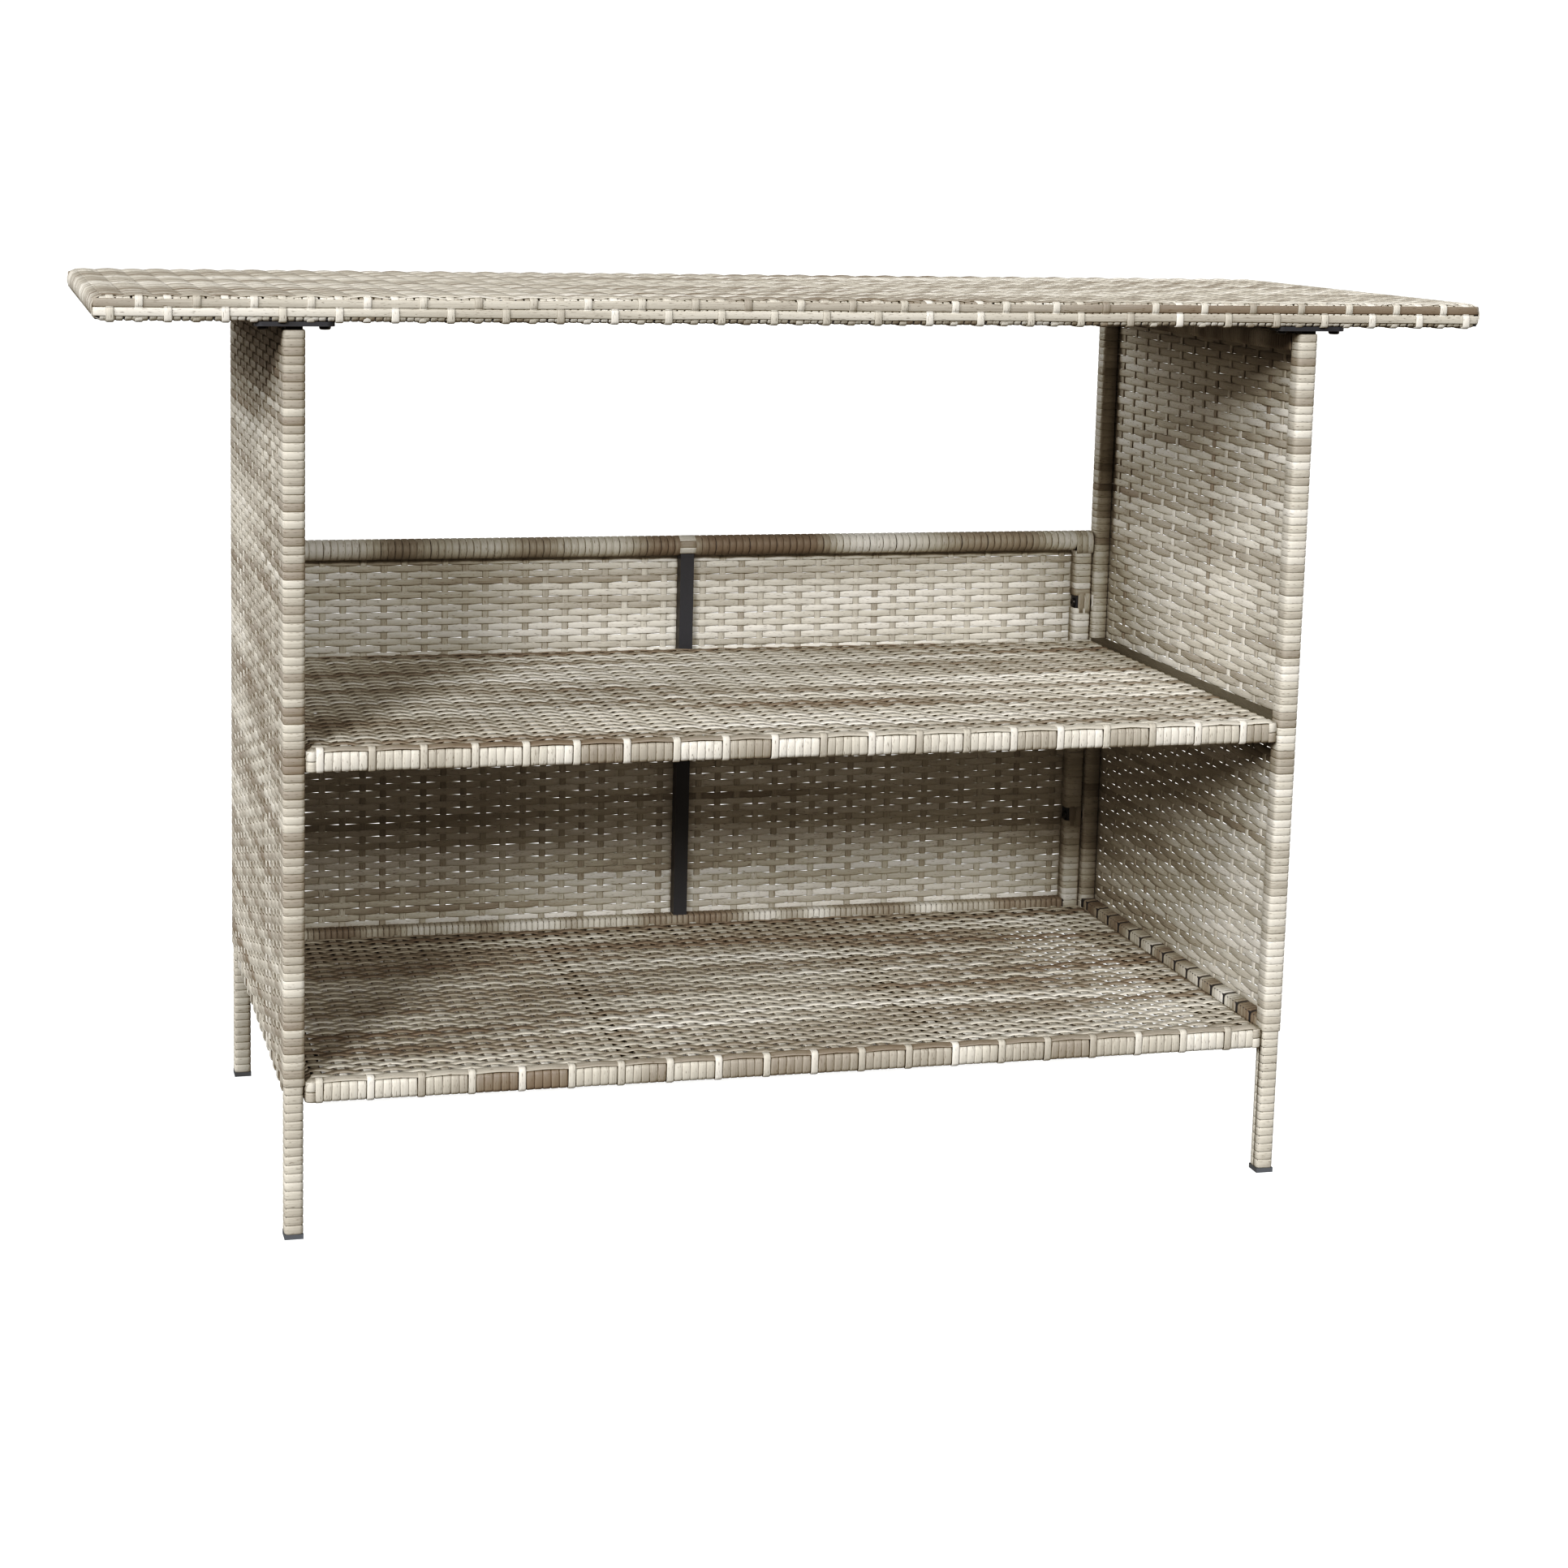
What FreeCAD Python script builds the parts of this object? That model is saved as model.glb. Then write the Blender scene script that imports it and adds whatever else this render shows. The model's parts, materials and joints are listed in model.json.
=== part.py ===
import FreeCAD, Part
import os

# Wicker bar table: a woven top on two woven side frames, with a low woven back and two woven shelves.
# Millimetres, +Z up. The origin is on the floor under the middle of the top. +X runs along the table,
# +Y points to the closed back, so the open shelves face -Y.

# Overall sizes
top_length = 1400.0
top_depth = 550.0
table_height = 920.0
end_overhang = 175.0        # the top's ends beyond the outer faces of the side panels
edge_overhang = 8.0         # the top's front and rear edges beyond the legs

# Flat plastic strands: a wrap is one strand thick, and a woven face is two, where strands cross
strand = 1.3
weave = 2.0 * strand

# Steel tubes
tube_wall = 1.2
top_tube = 20.0             # square tube of the top's frame
shelf_tube = 18.0           # square tube of the shelf frames
leg_tube = 16.0             # square tube of the legs, the back's stiles and its post
bar_tube = 14.0             # square tube of the cross bars under the woven faces
side_top_rail_height = 16.0
back_rail_diameter = 21.2   # round top rail of the back
back_bottom_rail_height = 16.0

# Heights of the shelves and the back
middle_shelf_height = 487.0
lower_shelf_height = 159.0
middle_rail_lip = 2.5       # how far the bare middle rails stand above the shelf beside them
bottom_rail_lip = 9.0       # the same for the wrapped bottom rails of the sides
panel_drop = 4.0            # lower edge of the woven side panels, below the lower shelf's top
back_height = 619.0
back_bottom_height = 168.0  # top of the back's wrapped bottom rail

# Gaps and setbacks
shelf_front_setback = 1.5   # shelf front behind the front of the legs
shelf_back_gap = 6.0        # shelf rear to the back's stiles
back_setback = 2.0          # the back sits this far behind the plane of the rear legs
stile_gap = 2.0             # between a stile and the leg beside it
weld_gap = 0.1              # room at a coped end
wrap_room = 0.05            # between an edge wrap and its tube, and at the mitres of the wraps
top_bar_count = 3
shelf_bar_count = 2

# Brackets, bolts and feet
bracket_length = 76.0
bracket_edge = 9.5          # from a bolt's or a leg's middle to the plate's long edge
bracket_thickness = 4.5
bracket_corner = 8.0
bracket_bolt_spacing = 58.0
bare_leg_top = 3.6          # bare tube between the bracket and the leg's wrap
bolt_diameter = 6.0
bolt_head_diameter = 11.0
bolt_head_height = 3.3
bolt_head_round = 2.0
socket_flats = 4.0
socket_depth = 2.0
bolt_clearance = 0.3        # radial room of a bolt in a plain hole
nut_outer_diameter = 9.0
nut_collar_diameter = 11.2
nut_collar_length = 3.0
nut_length = 10.0
thread_clearance = 0.15
nut_clearance = 0.1
spacer_diameter = 11.0
window_room = 1.0           # bare tube left round a back bolt's head and spacer
back_bolt_heights = (270.0, 532.0)
shelf_bolt_spacing = 300.0
head_room = 1.7             # between a shelf bolt's head and the woven face above it
nut_room = 0.4              # between a nut's collar and the floor of the side rail
foot_height = 5.0
foot_plug_length = 15.0
foot_clearance = 0.2

# Places that follow from the sizes above
panel_outer = top_length / 2.0 - end_overhang
panel_inner = panel_outer - weave
leg_x = (panel_inner - leg_tube, panel_inner)
leg_wrap_inner = leg_x[0] - weave
leg_centre_x = sum(leg_x) / 2.0
leg_face_y = top_depth / 2.0 - edge_overhang
leg_y_far = leg_face_y - weave
leg_y_near = leg_y_far - leg_tube
leg_wrap_near = leg_y_near - weave
leg_spans_y = {"front": (-leg_y_far, -leg_y_near), "rear": (leg_y_near, leg_y_far)}

top_face_under = table_height - weave
top_tube_under = top_face_under - top_tube
top_under = top_tube_under - strand
leg_top = top_under - bracket_thickness
leg_wrap_top = leg_top - bare_leg_top

shelf_bolt_drop = weave + bolt_head_diameter / 2.0 + head_room
rail_drop = shelf_bolt_drop + nut_collar_diameter / 2.0 + nut_room + tube_wall
middle_rail_z = (middle_shelf_height - rail_drop, middle_shelf_height + middle_rail_lip)
bottom_rail_z = (lower_shelf_height - rail_drop, lower_shelf_height + bottom_rail_lip - strand)
top_rail_z = (leg_wrap_top - strand - side_top_rail_height, leg_wrap_top - strand)
panel_bottom = lower_shelf_height - panel_drop
middle_rail_x = (leg_wrap_inner, leg_wrap_inner + leg_tube)
wrapped_rail_x = (panel_inner - strand - leg_tube, panel_inner - strand)

back_y = (leg_y_near + back_setback, leg_y_far + back_setback)
back_centre_y = sum(back_y) / 2.0
leg_centre_y = (leg_y_near + leg_y_far) / 2.0
stile_x = (leg_wrap_inner - stile_gap - weave - leg_tube, leg_wrap_inner - stile_gap - weave)
back_rail_radius = back_rail_diameter / 2.0
back_rail_z = back_height - strand - back_rail_radius
back_rail_wrap_radius = back_rail_radius + strand
back_rail_end = stile_x[1] + weave
back_bottom_y = (back_y[1] - strand - leg_tube, back_y[1] - strand)
back_bottom_top = back_bottom_height - strand
back_bottom_z = (back_bottom_top - back_bottom_rail_height, back_bottom_top)
post_x = (-leg_tube / 2.0, leg_tube / 2.0)

shelf_front = shelf_front_setback - leg_face_y
shelf_rear = back_y[0] - weave - shelf_back_gap
shelf_centre_y = (shelf_front + shelf_rear) / 2.0

bolt_hole = bolt_diameter / 2.0 + bolt_clearance
nut_hole = nut_outer_diameter / 2.0 + nut_clearance
bolt_window = max(bolt_head_diameter, spacer_diameter) / 2.0 + window_room

UP = FreeCAD.Vector(0, 0, 1)
ALONG_X = FreeCAD.Vector(1, 0, 0)
ORIGIN = FreeCAD.Vector(0, 0, 0)


def grown(span, amount):
    """A span made longer at both ends."""
    return (span[0] - amount, span[1] + amount)


def box(x_span, y_span, z_span):
    """A block between three pairs of coordinates."""
    size = [high - low for low, high in (x_span, y_span, z_span)]
    return Part.makeBox(size[0], size[1], size[2], FreeCAD.Vector(x_span[0], y_span[0], z_span[0]))


def tube(axis, x_span, y_span, z_span, wall):
    """A rectangular tube, open at both ends along axis. A wrap is a tube too, one or two strands thick."""
    inner = {"x": grown(x_span, -wall), "y": grown(y_span, -wall), "z": grown(z_span, -wall)}
    inner[axis] = {"x": x_span, "y": y_span, "z": z_span}[axis]
    return box(x_span, y_span, z_span).cut(box(inner["x"], inner["y"], inner["z"]))


def rod(start, direction, radius, length):
    """A round bar from a point."""
    return Part.makeCylinder(radius, length, start, direction)


def turned(shape, point, direction):
    """A copy of a shape made along +Z from the origin, set at a point along a direction."""
    copy = shape.copy()
    copy.Placement = FreeCAD.Placement(point, FreeCAD.Rotation(UP, direction))
    return copy


def mirrored(shape):
    """The same piece on the other side of the table."""
    return shape.mirror(ORIGIN, ALONG_X)


def mitred_bar(plan, side, inset, width, z_span):
    """One side of a rectangular ring with mitred ends, from inset to inset + width inside the plan."""
    (x_low, x_high), (y_low, y_high) = plan
    rings = []
    for offset in (inset, inset + width):
        left, right = x_low + offset, x_high - offset
        near, far = y_low + offset, y_high - offset
        rings.append([(left, near), (right, near), (right, far), (left, far)])
    first = ("front", "right", "rear", "left").index(side)
    second = (first + 1) % 4
    outline = [rings[0][first], rings[0][second], rings[1][second], rings[1][first]]
    points = [FreeCAD.Vector(x, y, z_span[0]) for x, y in outline + outline[:1]]
    return Part.Face(Part.makePolygon(points)).extrude(UP * (z_span[1] - z_span[0]))


def frame_tube(plan, side, size, z_low):
    """A square tube of a mitred frame that stands one woven face inside the plan."""
    z_span = (z_low, z_low + size)
    outer = mitred_bar(plan, side, weave, size, z_span)
    inner = mitred_bar(plan, side, weave + tube_wall, size - 2 * tube_wall, grown(z_span, -tube_wall))
    return outer.cut(inner)


def edge_wrap(plan, side, size, z_low):
    """The wrap of a frame tube: thick outside, one strand thick below and inside, open at the woven face."""
    z_high = z_low + size
    block = mitred_bar(plan, side, 0.0, weave + size + strand, (z_low - strand, z_high))
    room = mitred_bar(plan, side, weave - wrap_room, size + 2 * wrap_room, (z_low - wrap_room, z_high))
    return block.cut(room)


def cross_bars(plan, size, z_low, count):
    """Bars under a woven face, evenly spaced between the front and rear tubes."""
    (x_low, x_high), (y_low, y_high) = plan
    span_y = grown((y_low, y_high), -(weave + size))
    top = z_low + size
    bars = []
    for index in range(count):
        middle = x_low + (x_high - x_low) * (index + 1) / (count + 1)
        span_x = (middle - bar_tube / 2.0, middle + bar_tube / 2.0)
        bars.append((span_x, span_y, (top - bar_tube, top)))
    return bars


def woven_frame(plan, size, height, bar_count):
    """The pieces of a woven slab: mitred tubes, cross bars, woven face and edge wraps."""
    z_low = height - weave - size
    sides = ("front", "rear", "left", "right")
    rails = {side: frame_tube(plan, side, size, z_low) for side in sides}
    end_plan = (plan[0], grown(plan[1], -wrap_room))
    wrap_plans = {"front": plan, "rear": plan, "left": end_plan, "right": end_plan}
    wraps = {side: edge_wrap(wrap_plans[side], side, size, z_low) for side in sides}
    bars = cross_bars(plan, size, z_low, bar_count)
    for side in ("front", "rear"):
        wraps[side] = wraps[side].cut([box(*spans) for spans in bars])
    bar_solids = [tube("y", spans[0], spans[1], spans[2], tube_wall) for spans in bars]
    face = box(plan[0], plan[1], (height - weave, height))
    return rails, wraps, bar_solids, face


def make_bolt(length):
    """A round-head socket bolt: the head's seat is at the origin and the shank runs along +Z."""
    head = rod(ORIGIN, -UP, bolt_head_diameter / 2.0, bolt_head_height)
    rim = [edge for edge in head.Edges if abs(edge.CenterOfMass.z + bolt_head_height) < 0.01]
    head = head.makeFillet(bolt_head_round, rim)
    corner = socket_flats / 3 ** 0.5
    start = FreeCAD.Vector(corner, 0, -bolt_head_height)
    points = [FreeCAD.Rotation(UP, 60 * index).multVec(start) for index in range(7)]
    socket = Part.Face(Part.makePolygon(points)).extrude(UP * socket_depth)
    return head.cut(socket).fuse(rod(ORIGIN, UP, bolt_diameter / 2.0, length)).removeSplitter()


def make_nut():
    """A rivet nut: flush with the wall's outer face at the origin, its collar behind the wall, along +Z."""
    body = rod(ORIGIN, UP, nut_outer_diameter / 2.0, nut_length)
    collar = rod(UP * tube_wall, UP, nut_collar_diameter / 2.0, nut_collar_length)
    bore = rod(ORIGIN, UP, bolt_diameter / 2.0 + thread_clearance, nut_length)
    return body.fuse(collar).cut(bore).removeSplitter()


nodes = {}


def add(name, *solids):
    """Keep a piece, or a group of like pieces, under its name."""
    nodes[name] = solids[0] if len(solids) == 1 else Part.makeCompound(list(solids))


def add_pair(name, solid):
    """Keep a right-hand piece and its mirror image."""
    add("right_" + name, solid)
    add("left_" + name, mirrored(solid))


# The bolts all take one kind of nut, and each group's length follows from what it passes through
rivet_nut = make_nut()
nut_group = []

# Top: the brackets' bolts come up through the front and rear tubes
top_plan = ((-top_length / 2.0, top_length / 2.0), (-top_depth / 2.0, top_depth / 2.0))
top_rails, top_wraps, top_bars, top_face = woven_frame(top_plan, top_tube, table_height, top_bar_count)
rail_centre_y = top_depth / 2.0 - weave - top_tube / 2.0
bracket_near = min(rail_centre_y, leg_centre_y) - bracket_edge
bracket_far = max(rail_centre_y, leg_centre_y) + bracket_edge
bracket_bolt = make_bolt(bracket_thickness + strand + nut_length)
plates = []
bracket_bolts = []
for end, y_sign in (("front", -1), ("rear", 1)):
    for x_sign in (-1, 1):
        x_middle = x_sign * leg_centre_x
        plate_x = grown((x_middle, x_middle), bracket_length / 2.0)
        plate_y = sorted((y_sign * bracket_near, y_sign * bracket_far))
        plate = box(plate_x, plate_y, (leg_top, top_under))
        corners = [edge for edge in plate.Edges if abs(edge.tangentAt(edge.FirstParameter).z) > 0.99]
        plate = plate.makeFillet(bracket_corner, corners)
        for step in (-0.5, 0.5):
            seat = FreeCAD.Vector(x_middle + step * bracket_bolt_spacing, y_sign * rail_centre_y, leg_top)
            at_tube = seat + UP * (top_tube_under - leg_top)
            plate = plate.cut(rod(seat, UP, bolt_hole, bracket_thickness))
            top_wraps[end] = top_wraps[end].cut(rod(at_tube, -UP, bolt_hole, strand))
            top_rails[end] = top_rails[end].cut(rod(at_tube, UP, nut_hole, tube_wall))
            bracket_bolts.append(turned(bracket_bolt, seat, UP))
            nut_group.append(turned(rivet_nut, at_tube, UP))
        plates.append(plate)
for side in ("front", "rear", "left", "right"):
    add("top_%s_rail" % side, top_rails[side])
add("top_cross_bars", *top_bars)
add("top_woven_face", top_face)
add("top_front_edge_wrap", top_wraps["front"])
add("top_rear_edge_wrap", top_wraps["rear"])
add("top_end_edge_wraps", top_wraps["left"], top_wraps["right"])
add("bracket_plates", *plates)
add("bracket_bolts", *bracket_bolts)

# Shelves: bolts go from inside each shelf frame, through its end tubes, into the side rails
shelf_plan = ((-leg_wrap_inner, leg_wrap_inner), (shelf_front, shelf_rear))
shelf_bolt_stack = strand + shelf_tube + weave + strand
shelf_bolt = make_bolt(shelf_bolt_stack + nut_length)
shelf_bolts = []
middle_rail = tube("y", middle_rail_x, (-leg_y_near, leg_y_near), middle_rail_z, tube_wall)
bottom_rail = tube("y", wrapped_rail_x, (-leg_y_near, leg_y_near), bottom_rail_z, tube_wall)
bottom_wrap = tube(
    "y",
    grown(wrapped_rail_x, strand),
    (-leg_wrap_near, leg_wrap_near),
    grown(bottom_rail_z, strand),
    strand,
)
for name, height in (("middle_shelf", middle_shelf_height), ("lower_shelf", lower_shelf_height)):
    rails, wraps, bars, face = woven_frame(shelf_plan, shelf_tube, height, shelf_bar_count)
    wall_x = middle_rail_x[0] if name == "middle_shelf" else wrapped_rail_x[0]
    bolt_z = height - shelf_bolt_drop
    for step in (-0.5, 0.5):
        bolt_y = shelf_centre_y + step * shelf_bolt_spacing
        inside = FreeCAD.Vector(leg_wrap_inner - weave - shelf_tube - strand, bolt_y, bolt_z)
        at_rail = FreeCAD.Vector(wall_x, bolt_y, bolt_z)
        plain_hole = rod(inside, ALONG_X, bolt_hole, shelf_bolt_stack)
        rails["right"] = rails["right"].cut(plain_hole)
        wraps["right"] = wraps["right"].cut(plain_hole)
        nut_seat = rod(at_rail, ALONG_X, nut_hole, tube_wall)
        if name == "middle_shelf":
            middle_rail = middle_rail.cut(nut_seat)
        else:
            bottom_rail = bottom_rail.cut(nut_seat)
            bottom_wrap = bottom_wrap.cut(plain_hole)
        bolt = turned(shelf_bolt, inside, ALONG_X)
        nut = turned(rivet_nut, at_rail, ALONG_X)
        shelf_bolts += [bolt, mirrored(bolt)]
        nut_group += [nut, mirrored(nut)]
    add(name + "_front_rail", rails["front"])
    add(name + "_rear_rail", rails["rear"])
    add(name + "_end_rails", rails["right"], mirrored(rails["right"]))
    add(name + "_cross_bars", *bars)
    add(name + "_woven_face", face)
    add(name + "_edge_wraps", wraps["front"], wraps["rear"], wraps["right"], mirrored(wraps["right"]))
add("shelf_bolts", *shelf_bolts)

# Side panels: the woven face covers the outer side of the legs' frame
top_rail = tube("y", wrapped_rail_x, (-leg_y_near, leg_y_near), top_rail_z, tube_wall)
top_rail_wrap = tube(
    "y",
    grown(wrapped_rail_x, strand),
    (-leg_wrap_near, leg_wrap_near),
    grown(top_rail_z, strand),
    strand,
)
woven_side = box((panel_inner, panel_outer), (-leg_wrap_near, leg_wrap_near), (panel_bottom, leg_wrap_top))
rail_ends = [
    box(wrapped_rail_x, (-leg_y_near, leg_y_near), top_rail_z),
    box(middle_rail_x, (-leg_y_near, leg_y_near), middle_rail_z),
    box(wrapped_rail_x, (-leg_y_near, leg_y_near), bottom_rail_z),
]
legs = {}
leg_wraps = {}
lower_wraps = []
feet = []
foot_plug = leg_tube / 2.0 - tube_wall - foot_clearance
for end, y_span in leg_spans_y.items():
    legs[end] = tube("z", leg_x, y_span, (foot_height, leg_top), tube_wall)
    upper = tube("z", grown(leg_x, weave), grown(y_span, weave), (panel_bottom, leg_wrap_top), weave)
    leg_wraps[end] = upper.cut(rail_ends)
    lower_spans = (grown(leg_x, strand), grown(y_span, strand))
    lower = tube("z", lower_spans[0], lower_spans[1], (foot_height, panel_bottom), strand)
    lower_wraps.append(lower.cut(rail_ends))
    middle = (leg_centre_x, sum(y_span) / 2.0)
    plug_spans = [grown((value, value), foot_plug) for value in middle]
    plug = box(plug_spans[0], plug_spans[1], (foot_height, foot_height + foot_plug_length))
    feet.append(box(lower_spans[0], lower_spans[1], (0.0, foot_height)).fuse(plug).removeSplitter())

# Back: stiles bolted to the rear legs through spacers, a round top rail, a bottom rail and a bare post
rail_start = FreeCAD.Vector(-back_rail_end, back_centre_y, back_rail_z)
rail_core = rod(rail_start, ALONG_X, back_rail_radius, 2 * back_rail_end)
rail_bore = rod(rail_start, ALONG_X, back_rail_radius - tube_wall, 2 * back_rail_end)
rail_cope = rod(rail_start, ALONG_X, back_rail_radius + weld_gap, 2 * back_rail_end)
rail_wrap_outer = rod(rail_start, ALONG_X, back_rail_wrap_radius, 2 * back_rail_end)
face_cope = rod(rail_start, ALONG_X, back_rail_wrap_radius + weld_gap, 2 * back_rail_end)
stile_z = (back_bottom_z[0] - strand, back_rail_z)
post_z = (back_bottom_z[1], back_rail_z)
stile_block = box(stile_x, back_y, stile_z)
post_block = box(post_x, back_y, post_z)
stile = tube("z", stile_x, back_y, stile_z, tube_wall).cut(rail_cope)
post = tube("z", post_x, back_y, post_z, tube_wall).cut(rail_cope)
stile_wrap_z = (stile_z[0], back_rail_z - back_rail_wrap_radius - weld_gap)
stile_wrap = tube("z", grown(stile_x, weave), grown(back_y, weave), stile_wrap_z, weave)
back_bottom_x = (-stile_x[0], stile_x[0])
back_bottom = tube("x", back_bottom_x, back_bottom_y, back_bottom_z, tube_wall)
stile_wrap = stile_wrap.cut(box(back_bottom_x, back_bottom_y, back_bottom_z))
back_bottom_wrap = tube(
    "x",
    grown(back_bottom_x, -weave),
    grown(back_bottom_y, strand),
    grown(back_bottom_z, strand),
    strand,
).cut(post_block)
back_rail_wrap = rail_wrap_outer.cut([rail_core, stile_block, mirrored(stile_block), post_block])
woven_back = box(grown(back_bottom_x, -weave), (back_y[1], back_y[1] + weave), stile_z).cut(face_cope)
spacer_length = leg_x[0] - stile_x[1]
back_bolt = make_bolt(leg_tube + spacer_length + nut_length)
back_bolts = []
spacers = []
for height in back_bolt_heights:
    seat = FreeCAD.Vector(stile_x[0], leg_centre_y, height)
    at_leg = FreeCAD.Vector(leg_x[0], leg_centre_y, height)
    window = (grown((leg_centre_y, leg_centre_y), bolt_window), grown((height, height), bolt_window))
    stile = stile.cut(rod(seat, ALONG_X, bolt_hole, leg_tube))
    stile_wrap = stile_wrap.cut([
        box((stile_x[0] - weave, stile_x[0]), *window),
        box((stile_x[1], stile_x[1] + weave), *window),
    ])
    leg_wraps["rear"] = leg_wraps["rear"].cut(box((leg_wrap_inner, leg_x[0]), *window))
    legs["rear"] = legs["rear"].cut(rod(at_leg, ALONG_X, nut_hole, tube_wall))
    spacer = rod(at_leg, -ALONG_X, spacer_diameter / 2.0, spacer_length)
    spacer = spacer.cut(rod(at_leg, -ALONG_X, bolt_hole, spacer_length))
    bolt = turned(back_bolt, seat, ALONG_X)
    nut = turned(rivet_nut, at_leg, ALONG_X)
    back_bolts += [bolt, mirrored(bolt)]
    spacers += [spacer, mirrored(spacer)]
    nut_group += [nut, mirrored(nut)]

for end in ("front", "rear"):
    add_pair(end + "_leg", legs[end])
    add_pair(end + "_leg_wrap", leg_wraps[end])
add_pair("top_rail", top_rail)
add_pair("middle_rail", middle_rail)
add_pair("bottom_rail", bottom_rail)
add_pair("top_rail_wrap", top_rail_wrap)
add_pair("bottom_rail_wrap", bottom_wrap)
add_pair("woven_panel", woven_side)
add("right_lower_leg_wraps", *lower_wraps)
add("left_lower_leg_wraps", *[mirrored(wrap) for wrap in lower_wraps])
add("foot_caps", *(feet + [mirrored(foot) for foot in feet]))
add_pair("back_stile", stile)
add("back_stile_wraps", stile_wrap, mirrored(stile_wrap))
add("back_top_rail", rail_core.cut(rail_bore))
add("back_top_rail_wrap", back_rail_wrap)
add("back_bottom_rail", back_bottom)
add("back_bottom_rail_wrap", back_bottom_wrap)
add("back_centre_post", post)
add("back_woven_panel", woven_back)
add("back_bolts", *back_bolts)
add("back_spacers", *spacers)
add("rivet_nuts", *nut_group)

os.makedirs("parts", exist_ok=True)
for name, shape in nodes.items():
    shape.exportStep("parts/%s.step" % name)
print(len(nodes), "nodes,", sum(len(shape.Solids) for shape in nodes.values()), "solids")
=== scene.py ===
# %% [markdown]
# A wicker bar table, dressed strand by strand.
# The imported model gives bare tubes, plates where the weave goes, and sleeves where a strand is wound.
# This lesson lays real strands in their place. The frame is loaded first, because every strand takes
# its place from the box of the plate or sleeve that it replaces.

# %% Load the frame
import json
import math
import random

import bmesh
import bpy
from mathutils import Matrix, Vector, noise


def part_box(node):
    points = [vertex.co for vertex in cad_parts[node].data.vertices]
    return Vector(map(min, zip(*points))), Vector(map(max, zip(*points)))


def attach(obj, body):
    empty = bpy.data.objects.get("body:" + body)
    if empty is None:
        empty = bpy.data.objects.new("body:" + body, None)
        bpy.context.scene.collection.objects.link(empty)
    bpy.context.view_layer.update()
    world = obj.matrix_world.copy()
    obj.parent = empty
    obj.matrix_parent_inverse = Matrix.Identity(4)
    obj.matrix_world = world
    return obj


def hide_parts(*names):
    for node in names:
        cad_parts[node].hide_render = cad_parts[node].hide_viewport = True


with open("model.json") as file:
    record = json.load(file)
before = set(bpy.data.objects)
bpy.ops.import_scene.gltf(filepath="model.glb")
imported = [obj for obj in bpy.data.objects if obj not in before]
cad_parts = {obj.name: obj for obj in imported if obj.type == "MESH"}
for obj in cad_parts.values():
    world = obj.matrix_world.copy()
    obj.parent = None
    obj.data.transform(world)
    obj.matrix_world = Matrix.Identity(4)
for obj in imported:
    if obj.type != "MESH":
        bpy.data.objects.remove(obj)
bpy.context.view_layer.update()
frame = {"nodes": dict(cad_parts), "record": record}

random.seed(7)
print("nodes in the frame:", len(frame["nodes"]))

# %% [markdown]
# The camera stands to the left of the table, a little above its top, and looks down at it.
# Its place and lens come from matching the table's corners to the photograph, which looks like a crop
# of a larger picture. A small lens shift stands for that crop: the point that the lens looks at lies
# above and to the left of the picture's middle.

# %% Camera
camera_place = (-0.8232, -2.9715, 1.0585)
heading_degrees = -13.77
downward_degrees = 8.72
roll_degrees = 1.12
camera_data = bpy.data.cameras.new("table_camera")
camera_data.lens = 66.44
camera_data.shift_x = 0.08
camera_data.shift_y = -0.12
camera = bpy.data.objects.new("table_camera", camera_data)
bpy.context.scene.collection.objects.link(camera)
camera.matrix_world = Matrix.Translation(camera_place)
for axis, degrees in (("Z", heading_degrees), ("X", 90.0 - downward_degrees), ("Z", roll_degrees)):
    camera.matrix_world = camera.matrix_world @ Matrix.Rotation(math.radians(degrees), 4, axis)
bpy.context.scene.camera = camera
print("camera at", [round(value, 3) for value in camera.matrix_world.translation])

# %% [markdown]
# Colours are written as the hex codes that a colour picker shows, and shaders want linear light,
# so one function turns them. Another adds a node with its settings, values and links, which keeps
# each material readable as a list of what it does.

# %% Colour and node helpers
def tint(code):
    """A hex colour as linear red, green, blue and alpha."""
    channels = [int(code[start:start + 2], 16) / 255.0 for start in (1, 3, 5)]
    linear = [c / 12.92 if c <= 0.04045 else ((c + 0.055) / 1.055) ** 2.4 for c in channels]
    return (*linear, 1.0)


def add_node(tree, kind, inputs=None, stops=None, **settings):
    """Add a node, set its properties and ramp stops, then set or link its inputs."""
    made = tree.nodes.new(kind)
    for name, value in settings.items():
        setattr(made, name, value)
    for index, (position, colour) in enumerate(stops or []):
        elements = made.color_ramp.elements
        element = elements[index] if index < 2 else elements.new(position)
        element.position = position
        element.color = colour
    for name, value in (inputs or {}).items():
        if isinstance(value, bpy.types.NodeSocket):
            tree.links.new(value, made.inputs[name])
        else:
            made.inputs[name].default_value = value
    return made


def new_material(name):
    """An empty node material and its tree."""
    material = bpy.data.materials.new(name)
    material.use_nodes = True
    material.node_tree.nodes.clear()
    return material, material.node_tree


# %% [markdown]
# The strands are extruded polyethylene, sold as PE rattan. The colour is mixed into the plastic while
# it is drawn, so one strand drifts from cream to taupe along its length, and it carries fine lines and
# dark flecks that run lengthwise. Every strand vertex stores its length along the strand, its place
# across it and its tone, and the material reads those three numbers instead of a position, so the
# lines turn every corner with the strand. The tone shifts the noise too, so strands of different tone
# show different lines.

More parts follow.
